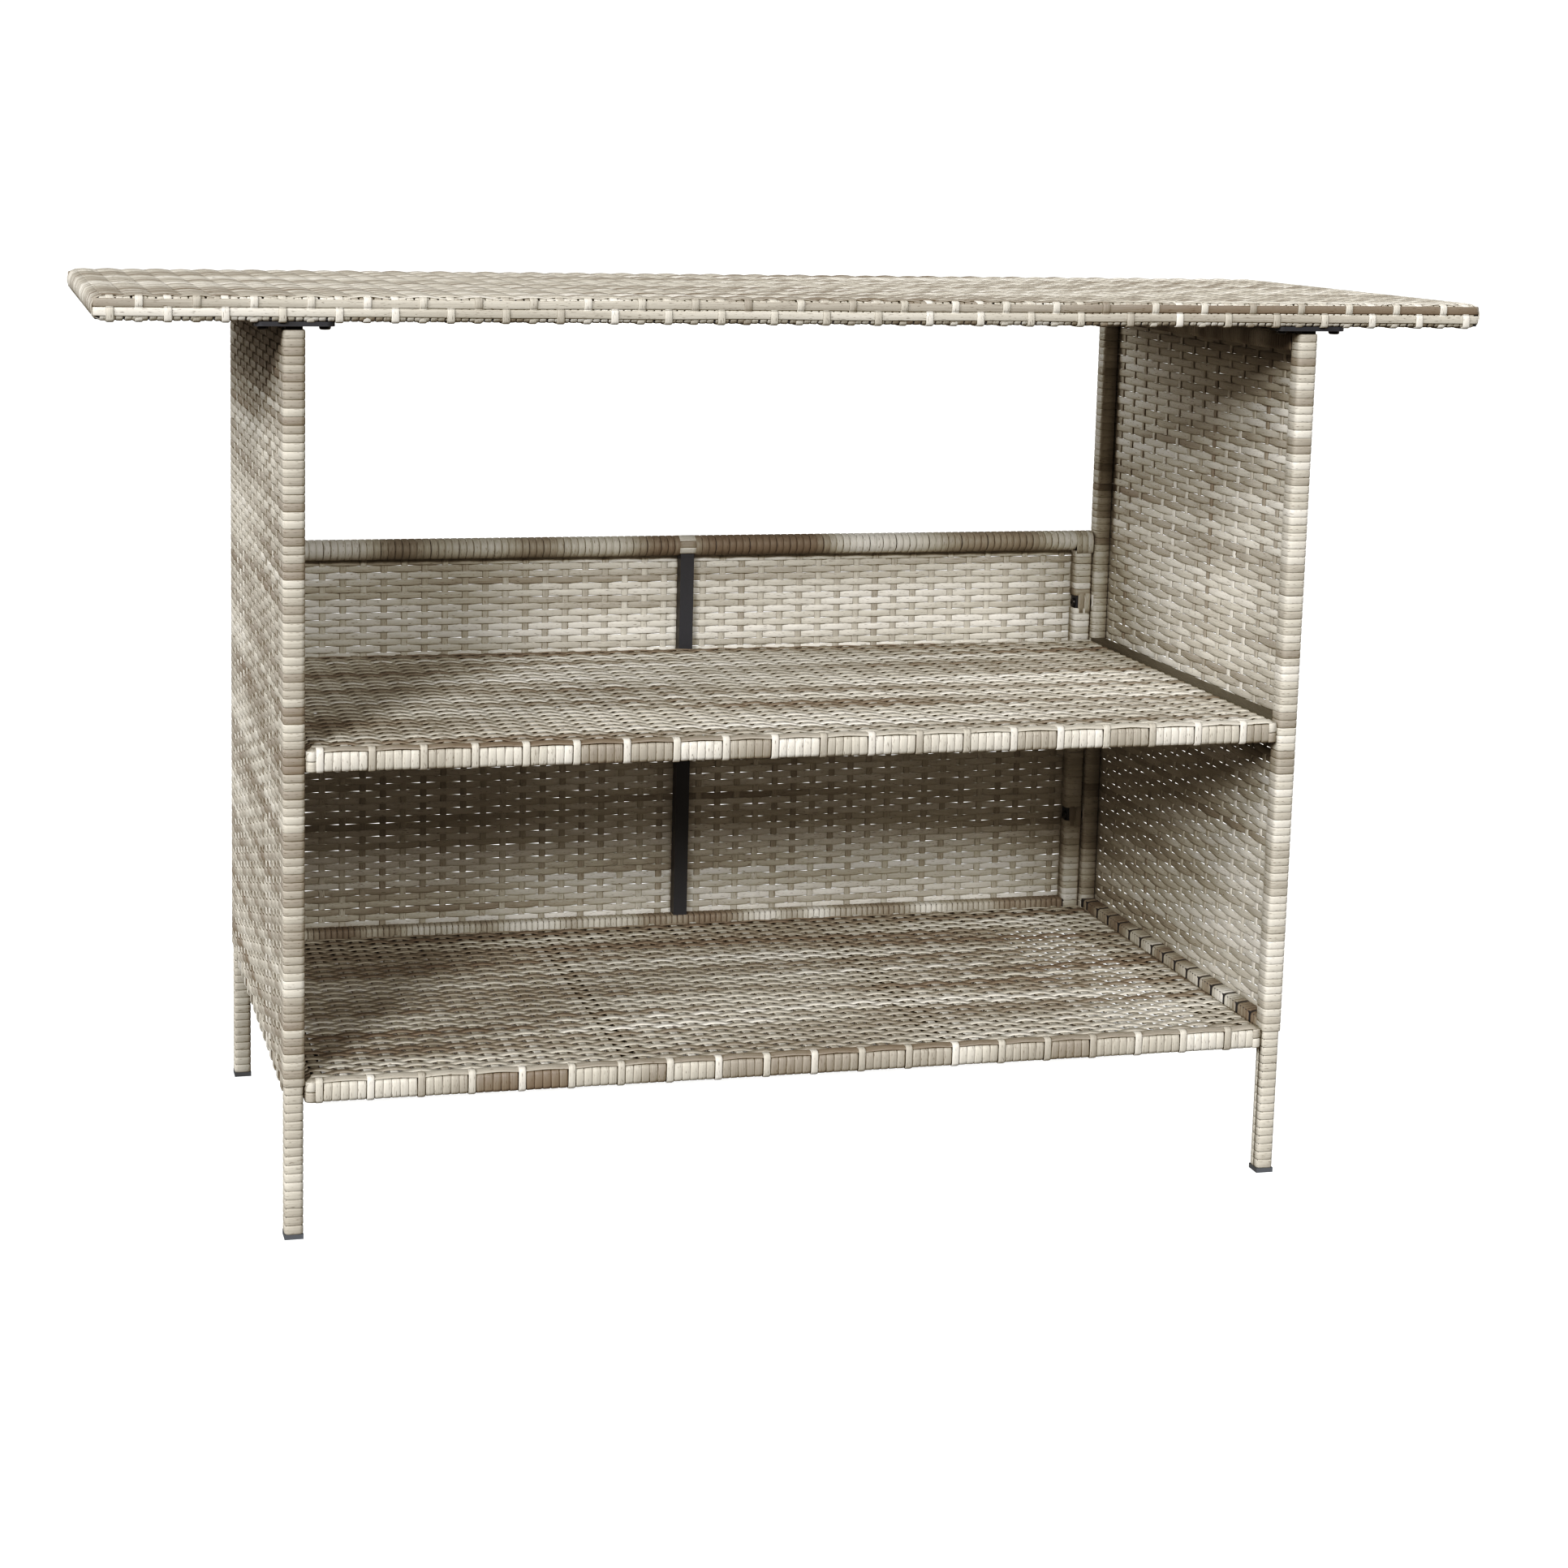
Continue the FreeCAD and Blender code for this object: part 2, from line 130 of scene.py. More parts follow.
# %% PE rattan
rattan, tree = new_material("pe_rattan_strand")
strand_data = add_node(tree, "ShaderNodeAttribute", attribute_name="strand")
strand_parts = add_node(tree, "ShaderNodeSeparateXYZ", {"Vector": strand_data.outputs["Vector"]})
line_length_mm = 45.0
lines_across = 7.0
line_contrast = 0.5
fleck_length_mm = 6.0
flecks_across = 4.5
line_place = add_node(tree, "ShaderNodeMapping", {
    "Vector": strand_data.outputs["Vector"],
    "Scale": (1000.0 / line_length_mm, lines_across, 8.0),
})
lines = add_node(tree, "ShaderNodeTexNoise", {
    "Vector": line_place.outputs["Vector"], "Scale": 1.0, "Detail": 2.0, "Roughness": 0.6,
})
fleck_place = add_node(tree, "ShaderNodeMapping", {
    "Vector": strand_data.outputs["Vector"],
    "Scale": (1000.0 / fleck_length_mm, flecks_across, 6.0),
})
flecks = add_node(tree, "ShaderNodeTexNoise", {
    "Vector": fleck_place.outputs["Vector"], "Scale": 1.0, "Detail": 1.0, "Roughness": 0.5,
})
fleck_mask = add_node(tree, "ShaderNodeMapRange", {
    "Value": flecks.outputs["Fac"], "From Min": 0.64, "From Max": 0.74, "To Min": 0.0, "To Max": 0.65,
})
line_shift = add_node(tree, "ShaderNodeMath", {
    0: lines.outputs["Fac"], 1: line_contrast, 2: strand_parts.outputs["Z"],
}, operation="MULTIPLY_ADD")
shade = add_node(tree, "ShaderNodeMath", {
    0: line_shift.outputs[0], 1: line_contrast / 2.0,
}, operation="SUBTRACT")
body_colour = add_node(tree, "ShaderNodeValToRGB", {"Fac": shade.outputs[0]}, stops=[
    (0.05, tint("#776C61")),
    (0.95, tint("#C2BEB6")),
    (0.32, tint("#8F887D")),
    (0.62, tint("#AEA99E")),
])
strand_colour = add_node(tree, "ShaderNodeMix", {
    "Factor": fleck_mask.outputs["Result"],
    "A": body_colour.outputs["Color"],
    "B": tint("#55493E"),
}, data_type="RGBA")
line_bump = add_node(tree, "ShaderNodeBump", {
    "Height": lines.outputs["Fac"], "Strength": 0.35, "Distance": 0.0004,
})
plastic = add_node(tree, "ShaderNodeBsdfPrincipled", {
    "Base Color": strand_colour.outputs["Result"],
    "Normal": line_bump.outputs["Normal"],
    "Roughness": 0.55,
    "IOR": 1.5,
    "Specular IOR Level": 0.35,
})
add_node(tree, "ShaderNodeOutputMaterial", {"Surface": plastic.outputs[0]})
print("material:", rattan.name)

# %% [markdown]
# The frame is steel tube under a black powder coat, which bakes to a satin skin with a faint orange
# peel. The middle side rails wear a grey coat of the same kind. The bolts are black-oxide steel, a
# little smoother, and the feet are grey moulded polypropylene.

# %% Steel, bolts and feet
def coated(name, colour, low, high, grain_mm, bump):
    """A satin coat: roughness from low to high and a fine bump share one noise, sized in millimetres."""
    material, tree = new_material(name)
    place = add_node(tree, "ShaderNodeTexCoord")
    grain = add_node(tree, "ShaderNodeTexNoise", {
        "Vector": place.outputs["Object"], "Scale": 1000.0 / grain_mm, "Detail": 2.0,
    })
    sheen = add_node(tree, "ShaderNodeMapRange", {
        "Value": grain.outputs["Fac"], "To Min": low, "To Max": high,
    })
    peel = add_node(tree, "ShaderNodeBump", {
        "Height": grain.outputs["Fac"], "Strength": bump, "Distance": 0.0002,
    })
    coat = add_node(tree, "ShaderNodeBsdfPrincipled", {
        "Base Color": tint(colour),
        "Roughness": sheen.outputs["Result"],
        "Normal": peel.outputs["Normal"],
    })
    add_node(tree, "ShaderNodeOutputMaterial", {"Surface": coat.outputs[0]})
    return material


black_coat = coated("powder_coated_steel_black", "#33373F", low=0.38, high=0.52, grain_mm=1.6, bump=0.3)
grey_coat = coated("powder_coated_steel_grey", "#5B584F", low=0.42, high=0.56, grain_mm=1.6, bump=0.3)
bolt_steel = coated("black_oxide_bolt_steel", "#1E1F22", low=0.28, high=0.4, grain_mm=0.8, bump=0.15)
foot_plastic = coated("moulded_pp_foot", "#575B60", low=0.45, high=0.6, grain_mm=1.2, bump=0.2)
slot_materials = {
    "black_steel": black_coat,
    "grey_steel": grey_coat,
    "hardware": bolt_steel,
    "foot_plastic": foot_plastic,
    "wicker": rattan,
}
for entry in frame["record"]["subparts"]:
    node_mesh = frame["nodes"][entry["node"]].data
    node_mesh.materials.clear()
    node_mesh.materials.append(slot_materials[entry["material_slot"]])

# %% [markdown]
# A strand is a flat ribbon with soft edges. It could be a curve with a bevel shape, but a swept mesh
# gives every vertex its own length and tone. An eight-sided section is drawn, its flat sides
# are widened, and it is extruded from point to point, each time turned to face the way the line goes.

# %% Sweep a strand
strand_thickness = 0.0018
half = strand_thickness / 2.0
shoulder_stretch = 1.65


def sweep(points, across, width, widths=None, thickness=strand_thickness):
    """A strand along a line of points. Across is its wide direction, widths scale it point by point."""
    shape = bmesh.new()
    label = shape.verts.layers.float_vector.new("strand")
    ring = bmesh.ops.create_circle(shape, cap_ends=True, radius=1.0, segments=8)["verts"]
    eighth = Matrix.Rotation(math.pi / 8.0, 3, "Z")
    bmesh.ops.rotate(shape, cent=(0.0, 0.0, 0.0), matrix=eighth, verts=ring)
    reach = max(vert.co.y for vert in ring)
    shoulders = [vert for vert in ring if abs(vert.co.y) < 0.5]
    bmesh.ops.scale(shape, vec=(1.0, shoulder_stretch, 1.0), verts=shoulders)
    for vert in ring:
        vert[label] = (0.0, vert.co.y / reach, 0.0)
    bmesh.ops.scale(shape, vec=(thickness / 2.0 / reach, width / 2.0 / reach, 1.0), verts=ring)
    last = len(points) - 1
    frames = []
    for index, point in enumerate(points):
        along = (points[min(index + 1, last)] - points[max(index - 1, 0)]).normalized()
        turn = Matrix((across.cross(along), across, along)).transposed().to_4x4()
        narrow = Matrix.Diagonal((1.0, widths[index] if widths else 1.0, 1.0, 1.0))
        frames.append(Matrix.Translation(point) @ turn @ narrow)
    bmesh.ops.transform(shape, matrix=frames[0], verts=ring)
    face = shape.faces[:][0]
    inner_faces = []
    length = 0.0
    for index in range(1, len(points)):
        length += (points[index] - points[index - 1]).length
        grown = bmesh.ops.extrude_face_region(shape, geom=[face])["geom"]
        face = [item for item in grown if isinstance(item, bmesh.types.BMFace)][0]
        inner_faces.append(face)
        corners = list(face.verts)
        step = frames[index] @ frames[index - 1].inverted()
        bmesh.ops.transform(shape, matrix=step, verts=corners)
        for vert in corners:
            vert[label] = (length, vert[label].y, 0.0)
    bmesh.ops.delete(shape, geom=inner_faces[:-1], context="FACES_ONLY")
    bmesh.ops.recalc_face_normals(shape, faces=shape.faces[:])
    mesh = bpy.data.meshes.new("strand")
    shape.to_mesh(mesh)
    shape.free()
    return mesh


# %% [markdown]
# Strands bend round tubes, so a line given by its corners gets each corner rounded with three points.
# A weaver rises over one stake and dives under the next, as a wave that crosses the middle plane
# halfway between them. Where it dives it is pulled a little narrower. The stake gives way too: it is
# pressed in under each weaver that covers it and bulges out where it shows. Two shares shape these
# lines: one draws the middle of a corner onto a circle's arc, and one is the height of a wave an eighth
# of its length from the crest.

# %% Rounded and waved lines
corner_pull = 0.586
eighth_lift = 0.71


def rounded(corners, radius):
    """Points along a line whose inner corners are rounded."""
    points = [corners[0]]
    for before, corner, after in zip(corners, corners[1:], corners[2:]):
        start = corner + (before - corner).normalized() * radius
        end = corner + (after - corner).normalized() * radius
        points += [start, corner.lerp((start + end) / 2.0, corner_pull), end]
    return points + [corners[-1]]


def waved(stakes, side, height, pinch):
    """Distance, lift and width of a weaver that passes stakes on alternate sides."""
    quarter = (stakes[1] - stakes[0]) / 4.0
    steps = []
    for index, stake in enumerate(stakes):
        over = side * (-1) ** index
        narrowing = 0.0 if over > 0 else 1.0 - pinch
        for share, part in ((-1, eighth_lift), (0, 1.0), (1, eighth_lift), (2, 0.0)):
            steps.append((stake + share * quarter, height * over * part, 1.0 - narrowing * part))
    return steps[:-1]


def pressed(rows, parity, height):
    """Place and lift of a stake at each row. Parity tells whether the first row shows it."""
    return [(row, height * parity * (-1) ** index) for index, row in enumerate(rows)]


def spread(low, high, count):
    """Evenly spaced values from low to high."""
    return [low + (high - low) * index / (count - 1) for index in range(count)]


def leaning(point, degrees, axis):
    """A turn about an axis through a point."""
    there = Matrix.Translation(point)
    return there @ Matrix.Rotation(math.radians(degrees), 4, axis) @ there.inverted()


# %% [markdown]
# Copies of a strand are laid into a piece. Each copy gets its tone from a slow noise: along the strand
# the tone drifts over about 400 mm, and from one row to the next it changes almost at random, which
# gives the streaks of the real weave. A second noise lets the copy wander sideways by a hair, because
# no hand-laid row is straight. Noise is zero at whole numbers, so small fractions keep it away from them.

# %% Lay strands and finish pieces
tone_drift = 2.6
tone_jump = 0.63
wander_drift = 9.0
wander_jump = 2.7


def new_weave():
    """An empty piece that can hold strands."""
    weave = bmesh.new()
    weave.verts.layers.float_vector.new("strand")
    return weave


def lay(weave, strand, place, row, seed, start=0.0, sway=Vector(), tone=0.54, contrast=0.7):
    """Add a copy of a strand at a place, toned as a row, wandering along sway."""
    first = len(weave.verts)
    weave.from_mesh(strand)
    weave.verts.ensure_lookup_table()
    label = weave.verts.layers.float_vector["strand"]
    for vert in weave.verts[first:]:
        along, across, _ = vert[label]
        along += start
        drift = noise.noise((along * tone_drift, row * tone_jump + 0.31, seed + 0.37))
        vert[label] = (along, across, tone + contrast * drift)
        wander = noise.noise((along * wander_drift, row * wander_jump + 0.5, seed + 7.7))
        vert.co = place @ vert.co + sway * wander


def finish_weave(name, weave, replaced, material=rattan):
    """Turn strands into an object that rides on the frame in place of CAD nodes."""
    mesh = bpy.data.meshes.new(name)
    weave.to_mesh(mesh)
    weave.free()
    mesh.shade_smooth()
    mesh.materials.append(material)
    piece = bpy.data.objects.new(name, mesh)
    bpy.context.scene.collection.objects.link(piece)
    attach(piece, "root")
    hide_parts(*replaced)
    mesh.calc_loop_triangles()
    print(name, len(mesh.loop_triangles), "triangles")


ALONG_X = Vector((1.0, 0.0, 0.0))
ALONG_Y = Vector((0.0, 1.0, 0.0))
ALONG_Z = Vector((0.0, 0.0, 1.0))
as_is = Matrix.Identity(4)
half_turn = Matrix.Rotation(math.pi, 4, "Z")

# %% [markdown]
# The top is a plain weave: weavers run the length of the table and pass over and under the stakes,
# which run from front to rear. At each end a weaver bends down over the end tube and tucks under it.
# Two strands are swept, one for each phase of the wave, and laid in turn from front to rear. The rows
# are kept in two pieces, because one would be a heavy mesh.

# %% Weave of the top
def end_bend(x_end, z_low, z_high, tuck, radius):
    """Points of a weaver that comes up round an end tube. Tuck is how far it goes under."""
    inward = -math.copysign(1.0, x_end)
    corners = [
        Vector((x_end + inward * tuck, 0.0, z_low)),
        Vector((x_end, 0.0, z_low)),
        Vector((x_end, 0.0, z_high)),
        Vector((x_end + inward * 2.0 * radius, 0.0, z_high)),
    ]
    return rounded(corners, radius)[:-1]


def x_weaver(bend, steps, middle, width, thickness):
    """A weaver along X with the same bend at both ends. The bend is given for the left end."""
    wave = [Vector((distance, 0.0, middle + lift)) for distance, lift, _ in steps]
    right = [Vector((-point.x, point.y, point.z)) for point in reversed(bend)]
    full = [1.0] * len(bend)
    widths = full + [step[2] for step in steps] + full
    return sweep(bend + wave + right, ALONG_Y, width, widths, thickness)


top_low, top_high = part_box("top_woven_face")
top_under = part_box("top_front_edge_wrap")[0].z
top_relief = 0.0013
top_proud = 0.0010
end_proud = 0.0004
stake_inset = 0.016
row_inset = 0.0068
top_stake_count = 53
top_row_count = 69
top_weaver_width = 0.0086
unpinched = 1.0
top_sway = ALONG_Y * 0.0003
top_middle = top_high.z - top_relief - half + top_proud
top_stakes = spread(top_low.x + stake_inset, top_high.x - stake_inset, top_stake_count)
top_rows = spread(top_low.y + row_inset, top_high.y - row_inset, top_row_count)
top_bend = end_bend(
    top_low.x - end_proud, z_low=top_under + half, z_high=top_middle + 0.0005, tuck=0.020, radius=0.0086
)
top_weavers = []
for side in (-1, 1):
    steps = waved(top_stakes, side, top_relief, unpinched)
    top_weavers.append(x_weaver(top_bend, steps, top_middle, top_weaver_width, strand_thickness))
halfway = len(top_rows) // 2
row_numbers = range(len(top_rows))
for name, rows in (("top_weave_front", row_numbers[:halfway]), ("top_weave_rear", row_numbers[halfway:])):
    weave = new_weave()
    for row in rows:
        place = Matrix.Translation((0.0, top_rows[row], 0.0))
        lay(weave, top_weavers[row % 2], place, row, seed=1, sway=top_sway)
    finish_weave(name, weave, ("top_woven_face", "top_end_edge_wraps"))

# %% [markdown]
# Along the front and rear edges two strands run lengthwise on the face of the tube. The stakes come
# over the edge and tie them: every second stake crosses the lower strand, the others the upper one.

# %% Stakes of the top
lower_strand_z = top_under + 0.0081
upper_strand_z = top_under + 0.0170
strand_reach = 0.0040
behind_strands = 0.0022
tuck_under = 0.017
under_gap = 0.0003
top_stake_width = 0.0074
top_stake_press = 0.0007


def edge_stake(over_lower):
    """The line of a top stake, from under the front tube over the top to under the rear tube."""
    face = top_low.y
    tie, behind = face - half, face + behind_strands
    low_y, high_y = (tie, behind) if over_lower else (behind, tie)
    front = rounded([
        Vector((0.0, face + tuck_under, top_under - under_gap)),
        Vector((0.0, low_y, top_under - under_gap)),
        Vector((0.0, low_y, lower_strand_z + strand_reach)),
        Vector((0.0, high_y, upper_strand_z - strand_reach)),
        Vector((0.0, high_y, top_middle)),
        Vector((0.0, face + 0.014, top_middle)),
    ], 0.0022)
    rows = pressed(top_rows, 1.0 if over_lower else -1.0, top_stake_press)[2:-2]
    inside = [Vector((0.0, y, top_middle + lift)) for y, lift in rows]
    return front + inside + [Vector((0.0, -point.y, point.z)) for point in reversed(front)]


weave = new_weave()
stake_kinds = [sweep(edge_stake(over_lower), ALONG_X, top_stake_width) for over_lower in (True, False)]
for index, x in enumerate(top_stakes):
    place = Matrix.Translation((x, 0.0, 0.0))
    lay(weave, stake_kinds[index % 2], place, index, seed=2, tone=0.68, contrast=0.7)
finish_weave("top_stakes", weave, ("top_woven_face",))

# %% [markdown]
# The two edge strands run from corner to corner and end just round it. The lower one is a light strand
# and the upper one a dark one.

# %% Edge strands of the top
edge_strand_width = 0.0082
edge_end = 0.67
edge_points = 60
edge_sway = ALONG_Z * 0.0008
round_corner = 0.009
lower_tone = 0.70
upper_tone = 0.36
weave = new_weave()
edge_y = top_low.y + half
corner_x = top_high.x - end_proud
around_corner = rounded([
    Vector((-corner_x, edge_y + round_corner, 0.0)),
    Vector((-corner_x, edge_y, 0.0)),
    Vector((0.0, edge_y, 0.0)),
], 0.0052)[:-1]
other_corner = [Vector((-point.x, point.y, 0.0)) for point in reversed(around_corner)]
straight = [Vector((x, edge_y, 0.0)) for x in spread(-edge_end, edge_end, edge_points)]
edge_run = sweep(around_corner + straight + other_corner, ALONG_Z, edge_strand_width)
for row, (height, tone) in enumerate(((lower_strand_z, lower_tone), (upper_strand_z, upper_tone))):
    for number, turn in enumerate((as_is, half_turn)):
        place = Matrix.Translation((0.0, 0.0, height)) @ turn
        lay(weave, edge_run, place, row + 5 * number, seed=3, tone=tone, contrast=0.6, sway=edge_sway)
finish_weave("top_edge_strands", weave, ("top_front_edge_wrap", "top_rear_edge_wrap"))

# %% [markdown]
# Behind the edge strands the tube is wound, and slivers of that winding show above and below them. Only
# three sides of a turn are made, with a short lip above, because its upper side lies under the weave.

# %% Windings of the top
def open_turn(front, rear, low, high, radius, lip):
    """Points of a turn round three sides of a front tube, from its upper front edge to its rear."""
    return rounded([
        Vector((0.0, front + lip, high)),
        Vector((0.0, front, high)),
        Vector((0.0, front, low)),
        Vector((0.0, rear, low)),
        Vector((0.0, rear, high - 0.003)),
    ], radius)


weave = new_weave()
tube_low, tube_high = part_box("top_front_rail")
turn_line = open_turn(
    front=tube_low.y - half,
    rear=tube_high.y + half,
    low=top_under + half,
    high=tube_high.z + 0.0008,
    radius=0.0032,
    lip=0.006,
)
edge_turn = sweep(turn_line, ALONG_X, 0.0066)
edge_turn_count = 186
edge_turn_length = 0.066
first_turn = 0.010
most_lean = 5.0
tube_middle = (tube_low + tube_high) / 2.0
for index, x in enumerate(spread(top_low.x + first_turn, top_high.x - first_turn, edge_turn_count)):
    lean = leaning(tube_middle, random.uniform(-most_lean, most_lean), "Y")
    for number, turn in enumerate((as_is, half_turn)):
        place = turn @ Matrix.Translation((x, 0.0, 0.0)) @ lean
        lay(weave, edge_turn, place, 40 * number, seed=4, start=index * edge_turn_length)
finish_weave("top_edge_windings", weave, ("top_front_edge_wrap", "top_rear_edge_wrap"))

# %% [markdown]
# Each shelf is woven like the top, with more relief. A weaver is pulled much narrower where it dives,
# which leaves dark lens-shaped holes on both sides of every stake. The first and last weaver lie
# flatter than the others, tilted on the rounded edge. The two shelves differ in height and in the seed
# of their noise, and on the lower one the strands are toned darker towards the rear as painted shade.

# %% Weave of the shelves
shelf_relief = 0.0017
shelf_thickness = 0.0020
shelf_names = ("middle_shelf", "lower_shelf")
shelf_low, shelf_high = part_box("middle_shelf_woven_face")
shelf_centre = (shelf_low.y + shelf_high.y) / 2.0
shelf_stake_inset = 0.014
shelf_row_inset = 0.0046
shelf_stake_count = 40
shelf_row_count = 55
shelf_weaver_width = 0.0086
shelf_pinch = 0.55
edge_relief = 0.0006
edge_tilt = 18.0
edge_row_tone = 0.3
shelf_tone = 0.5
painted_rear_shade = 0.16
shelf_sway = ALONG_Y * 0.0006
shelf_stakes = spread(shelf_low.x + shelf_stake_inset, shelf_high.x - shelf_stake_inset, shelf_stake_count)
shelf_rows = spread(shelf_low.y + shelf_row_inset, shelf_high.y - shelf_row_inset, shelf_row_count)
shelf_lift = 0.0003
shelf_bend = end_bend(
    shelf_low.x + half, z_low=shelf_lift - 0.016, z_high=shelf_lift, tuck=0.006, radius=0.0066
)
shelf_weavers = []
weaver_kinds = (
    (-1, shelf_relief, shelf_pinch),
    (1, shelf_relief, shelf_pinch),
    (-1, edge_relief, unpinched),
)
for side, relief, pinch in weaver_kinds:
    steps = waved(shelf_stakes, side, relief, pinch)
    shelf_weavers.append(x_weaver(shelf_bend, steps, shelf_lift, shelf_weaver_width, shelf_thickness))
edge_tilts = {0: edge_tilt, len(shelf_rows) - 1: -edge_tilt}
for number, name in enumerate(shelf_names):
    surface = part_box(name + "_woven_face")[1].z
    seed = 11 + 6 * number
    # Painted shade: on the lower shelf each row further towards the rear gets a darker tone.
    painted_shade_per_row = painted_rear_shade * number / len(shelf_rows)
    weave = new_weave()
    for row, y in enumerate(shelf_rows):
        tilt = Matrix.Rotation(math.radians(edge_tilts.get(row, 0.0)), 4, "X")
        place = Matrix.Translation((0.0, y, surface)) @ tilt
        kind, tone = (2, edge_row_tone) if row in edge_tilts else (row % 2, shelf_tone - painted_shade_per_row * row)
        lay(weave, shelf_weavers[kind], place, 0.7 * row, seed, sway=shelf_sway, tone=tone, contrast=0.75)
    finish_weave(name + "_weave", weave, (name + "_woven_face",))

# %% [markdown]
# Every second stake of a shelf comes over the first weaver and down the face of the front tube, and
# goes under it, and does the same at the rear. The others end under the first and the last weaver.

# %% Stakes of the shelves
shelf_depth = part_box("middle_shelf_edge_wraps")[0].z - shelf_high.z
edge_face = shelf_low.y + 0.0003
stake_lift = 0.0014
shelf_stake_width = 0.0078
narrow_share = 0.93
over_edge = rounded([
    Vector((0.0, shelf_low.y + 0.018, shelf_depth)),
    Vector((0.0, edge_face, shelf_depth)),
    Vector((0.0, edge_face, shelf_lift + stake_lift)),
    Vector((0.0, shelf_low.y + 0.009, shelf_lift + stake_lift)),
    Vector((0.0, shelf_rows[1], shelf_lift - stake_lift)),
], 0.0034)
over_rear = [Vector((0.0, 2.0 * shelf_centre - point.y, point.z)) for point in reversed(over_edge)]
shown, covered = [
    [Vector((0.0, y, shelf_lift + lift)) for y, lift in pressed(shelf_rows, parity, stake_lift)]
    for parity in (1.0, -1.0)
]
narrow_end = [narrow_share] * (len(over_edge) - 1) + [1.0]
stake_widths = narrow_end + [1.0] * len(shown[2:-2]) + narrow_end[::-1]
long_stake = sweep(over_edge + shown[2:-2] + over_rear, ALONG_X, shelf_stake_width, stake_widths)
short_stake = sweep(covered, ALONG_X, shelf_stake_width)
for number, name in enumerate(shelf_names):
    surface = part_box(name + "_woven_face")[1].z
    weave = new_weave()
    for index, x in enumerate(shelf_stakes):
        kind = short_stake if index % 2 else long_stake
        place = Matrix.Translation((x, 0.0, surface))
        lay(weave, kind, place, index, 12 + 6 * number, tone=0.70, contrast=0.6)
    finish_weave(name + "_stakes", weave, (name + "_woven_face",))

# %% [markdown]
# The front tube of a shelf is wound in full view: upright turns stand side by side between the stakes
# that come down, each leaning a little its own way. The five turns between two stakes are close in tone,
# because they are a short piece of one strand. At each corner two short strands, one above the
# other, go round from the front to the end.

# %% Windings of the shelves
turns_between_stakes = 5
turn_tones = (0.57, 0.54)
corner_tone = 0.66
shelf_turn_width = 0.0083
shelf_turn_length = 0.03
corner_strand_width = 0.0100
last_turn = 0.011
shelf_turn_lean = 1.8
turn_line = open_turn(
    front=shelf_low.y + half,
    rear=shelf_low.y + 0.0212,
    low=shelf_depth + half,
    high=-0.0022,
    radius=0.0034,
    lip=0.008,
)
shelf_turn = sweep(turn_line, ALONG_X, shelf_turn_width)
turn_places = []
for first in shelf_stakes[0::2]:
    step = 2.0 * (shelf_stakes[1] - shelf_stakes[0]) / (turns_between_stakes + 1)
    turn_places += [first + step * (index + 1) for index in range(turns_between_stakes)]
turn_places = [x for x in turn_places if x < shelf_high.x - last_turn]
corner_lines = []
for sign in (-1.0, 1.0):
    corner_lines.append(rounded([
        Vector((sign * (shelf_high.x - 0.0105), shelf_low.y + half, 0.0)),
        Vector((sign * (shelf_high.x - half), shelf_low.y + half, 0.0)),
        Vector((sign * (shelf_high.x - half), shelf_low.y + 0.024, 0.0)),
    ], 0.0048))
corner_strands = [sweep(line, ALONG_Z, corner_strand_width) for line in corner_lines]
turn_centre = Vector((0.0, shelf_low.y, shelf_depth / 2.0))
rear_edge = Matrix.Translation((0.0, 2.0 * shelf_centre, 0.0)) @ half_turn
for number, name in enumerate(shelf_names):
    lift = Matrix.Translation((0.0, 0.0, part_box(name + "_woven_face")[1].z))
    seed = 13 + 6 * number
    weave = new_weave()
    for index, x in enumerate(turn_places):
        for end, edge in enumerate((as_is, rear_edge)):
            lean = leaning(turn_centre, random.uniform(-shelf_turn_lean, shelf_turn_lean), "Y")
            place = lift @ edge @ Matrix.Translation((x, 0.0, 0.0)) @ lean
            group = 40 * end + 1.9 * (index // turns_between_stakes)
            start = index * shelf_turn_length
            lay(weave, shelf_turn, place, group, seed, start=start, tone=turn_tones[number])
    for level, share in enumerate((0.27, 0.74)):
        for end, edge in enumerate((as_is, rear_edge)):
            for corner, strand in enumerate(corner_strands):
                place = lift @ edge @ Matrix.Translation((0.0, 0.0, shelf_depth * share))
                lay(weave, strand, place, 7 * level + corner + 3 * end, seed, tone=corner_tone)
    finish_weave(name + "_windings", weave, (name + "_edge_wraps",))

# %% [markdown]
# A side panel's weavers do two jobs. Each one starts behind the front leg, goes round the leg as one
# band, crosses the panel over and under the stakes, and goes round the rear leg. One swept strand
# per phase holds that whole line. The left side is laid from the same strands turned half round,
# which swaps front and rear as well, and a turned copy needs no flipped faces. Its strands are toned
# darker than the right side's, as painted shade, and the right side's lighter, as painted light.

# %% Side panels and legs
panel_relief = 0.0015
panel_pinch = 0.97
panel_proud = 0.0005
side_stake_count = 15
side_row_count = 90
side_weaver_width = 0.0083
side_sway = ALONG_Z * 0.0005
panel_low, panel_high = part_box("right_woven_panel")
leg_low, leg_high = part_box("right_front_leg_wrap")
side_step = (panel_high.y - panel_low.y) / side_stake_count
side_stakes = [panel_low.y + side_step * (index + 0.5) for index in range(side_stake_count)]
panel_middle = panel_high.x - panel_relief - half + panel_proud
leg_band = rounded([
    Vector((leg_high.x - 0.004, leg_high.y - half, 0.0)),
    Vector((leg_low.x + half, leg_high.y - half, 0.0)),
    Vector((leg_low.x + half, leg_low.y + half, 0.0)),
    Vector((leg_high.x - half, leg_low.y + half, 0.0)),
    Vector((leg_high.x - half, leg_high.y, 0.0)),
], 0.0034)
rear_band = [Vector((point.x, -point.y, 0.0)) for point in reversed(leg_band)]
side_weavers = []
